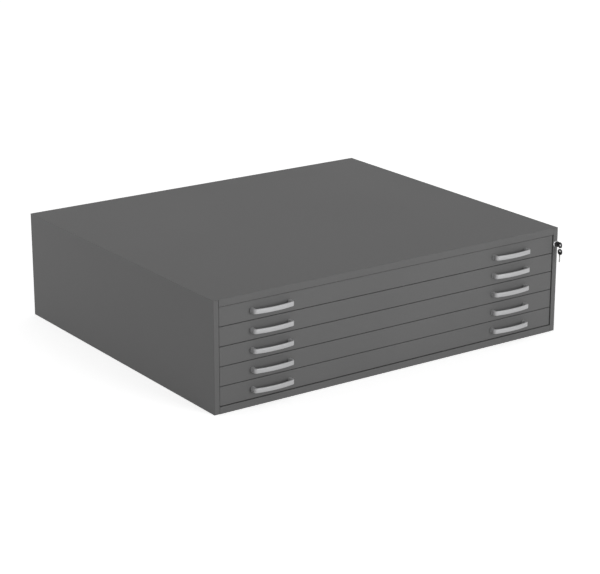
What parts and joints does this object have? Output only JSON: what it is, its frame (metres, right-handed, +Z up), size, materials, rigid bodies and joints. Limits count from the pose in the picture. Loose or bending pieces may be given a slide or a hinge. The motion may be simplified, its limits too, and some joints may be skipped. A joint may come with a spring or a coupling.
{
  "type": "flat file cabinet",
  "caption": "Low wide steel cabinet of shallow drawers on telescopic runners for storing large sheets flat, with bow handles, a cam lock and one locking bar.",
  "frame": {"origin": "on the floor, at the middle of the case's footprint", "axes": "+X along the width to the lock side, +Y from the drawer fronts to the back, +Z up"},
  "size_m": [1.3508, 1.1851, 0.36],
  "materials": {
    "case_paint": "fine satin powder coat, dark grey",
    "drawer_paint": "fine satin powder coat, dark grey",
    "tray_paint": "satin powder coat, dark grey",
    "handle_silver": "satin silver",
    "zinc_steel": "zinc plated sheet",
    "runner_zinc": "zinc plated, drawn",
    "screw_zinc": "zinc plated",
    "chrome": "polished",
    "key_nickel": "nickel plated",
    "key_plastic": "fine textured black",
    "guide_plastic": "moulded black",
    "rubber_buffer": "matte black"
  },
  "bodies": {
    "case": {"back_panel": "case_paint", "back_panel_screws": "screw_zinc", "bar_guides": "guide_plastic", "drawer_buffers": "rubber_buffer", "floor_panel": "case_paint", "front_bottom_rail": "case_paint", "left_side_panel": "case_paint", "left_uprights": "zinc_steel", "lock_barrel": "chrome", "lock_nut": "zinc_steel", "lock_rosette": "chrome", "right_side_panel": "case_paint", "right_uprights": "zinc_steel", "runner_outer_members": "runner_zinc", "runner_screws": "screw_zinc", "top_panel": "case_paint"},
    "drawer_1": {"drawer_1_tray": "tray_paint", "drawer_1_front": "drawer_paint", "drawer_1_hood": "tray_paint", "drawer_1_handles": "handle_silver", "drawer_1_side_fittings": "runner_zinc", "drawer_1_screws": "screw_zinc"},
    "runner_middle_1": {"drawer_1_middle_members": "runner_zinc"},
    "drawer_2": {"drawer_2_tray": "tray_paint", "drawer_2_front": "drawer_paint", "drawer_2_hood": "tray_paint", "drawer_2_handles": "handle_silver", "drawer_2_side_fittings": "runner_zinc", "drawer_2_screws": "screw_zinc"},
    "runner_middle_2": {"drawer_2_middle_members": "runner_zinc"},
    "drawer_3": {"drawer_3_tray": "tray_paint", "drawer_3_front": "drawer_paint", "drawer_3_hood": "tray_paint", "drawer_3_handles": "handle_silver", "drawer_3_side_fittings": "runner_zinc", "drawer_3_screws": "screw_zinc"},
    "runner_middle_3": {"drawer_3_middle_members": "runner_zinc"},
    "drawer_4": {"drawer_4_tray": "tray_paint", "drawer_4_front": "drawer_paint", "drawer_4_hood": "tray_paint", "drawer_4_handles": "handle_silver", "drawer_4_side_fittings": "runner_zinc", "drawer_4_screws": "screw_zinc"},
    "runner_middle_4": {"drawer_4_middle_members": "runner_zinc"},
    "drawer_5": {"drawer_5_tray": "tray_paint", "drawer_5_front": "drawer_paint", "drawer_5_hood": "tray_paint", "drawer_5_handles": "handle_silver", "drawer_5_side_fittings": "runner_zinc", "drawer_5_screws": "screw_zinc"},
    "runner_middle_5": {"drawer_5_middle_members": "runner_zinc"},
    "key": {"lock_plug": "key_nickel", "lock_cam": "zinc_steel", "plug_cap": "key_plastic", "key_head": "key_plastic", "key_blade": "key_nickel"},
    "lock_bar": {"locking_bar": "zinc_steel"},
    "ring": {"key_ring": "chrome"},
    "spare_key": {"spare_key_head": "key_plastic", "spare_key_blade": "key_nickel"}
  },
  "joints": [
    {"name": "drawer_1_slide", "type": "slide", "parent": "case", "child": "drawer_1", "axis": [0, -1, 0], "range_m": [0, 0.9]},
    {"name": "drawer_2_slide", "type": "slide", "parent": "case", "child": "drawer_2", "axis": [0, -1, 0], "range_m": [0, 0.9]},
    {"name": "drawer_3_slide", "type": "slide", "parent": "case", "child": "drawer_3", "axis": [0, -1, 0], "range_m": [0, 0.9]},
    {"name": "drawer_4_slide", "type": "slide", "parent": "case", "child": "drawer_4", "axis": [0, -1, 0], "range_m": [0, 0.9]},
    {"name": "drawer_5_slide", "type": "slide", "parent": "case", "child": "drawer_5", "axis": [0, -1, 0], "range_m": [0, 0.9]},
    {"name": "runner_1_slide", "type": "slide", "parent": "case", "child": "runner_middle_1", "axis": [0, -1, 0], "range_m": [0, 0.45]},
    {"name": "runner_2_slide", "type": "slide", "parent": "case", "child": "runner_middle_2", "axis": [0, -1, 0], "range_m": [0, 0.45]},
    {"name": "runner_3_slide", "type": "slide", "parent": "case", "child": "runner_middle_3", "axis": [0, -1, 0], "range_m": [0, 0.45]},
    {"name": "runner_4_slide", "type": "slide", "parent": "case", "child": "runner_middle_4", "axis": [0, -1, 0], "range_m": [0, 0.45]},
    {"name": "runner_5_slide", "type": "slide", "parent": "case", "child": "runner_middle_5", "axis": [0, -1, 0], "range_m": [0, 0.45]},
    {"name": "bar_lift", "type": "slide", "parent": "case", "child": "lock_bar", "axis": [0, 0, 1], "range_m": [0, 0.00636]},
    {"name": "key_turn", "type": "hinge", "parent": "case", "child": "key", "pos_m": [0.66575, -0.575, 0.3055], "axis": [0, -1, 0], "range_deg": [0, 90]},
    {"name": "ring_hang", "type": "hinge", "parent": "key", "child": "ring", "pos_m": [0.66575, -0.5985, 0.29883], "axis": [0, -1, 0], "range_deg": [-90, 0]},
    {"name": "spare_key_swing", "type": "hinge", "parent": "ring", "child": "spare_key", "pos_m": [0.66575, -0.5985, 0.28742], "axis": [-1, 0, 0], "range_deg": [-12, 40]}
  ],
  "couplings": [
    {"joint": "runner_1_slide", "follows": "drawer_1_slide", "ratio": 0.5},
    {"joint": "runner_2_slide", "follows": "drawer_2_slide", "ratio": 0.5},
    {"joint": "runner_3_slide", "follows": "drawer_3_slide", "ratio": 0.5},
    {"joint": "runner_4_slide", "follows": "drawer_4_slide", "ratio": 0.5},
    {"joint": "runner_5_slide", "follows": "drawer_5_slide", "ratio": 0.5},
    {"joint": "key_turn", "follows": "bar_lift", "rad_per_m": 246.82},
    {"joint": "ring_hang", "follows": "bar_lift", "rad_per_m": -246.82}
  ]
}
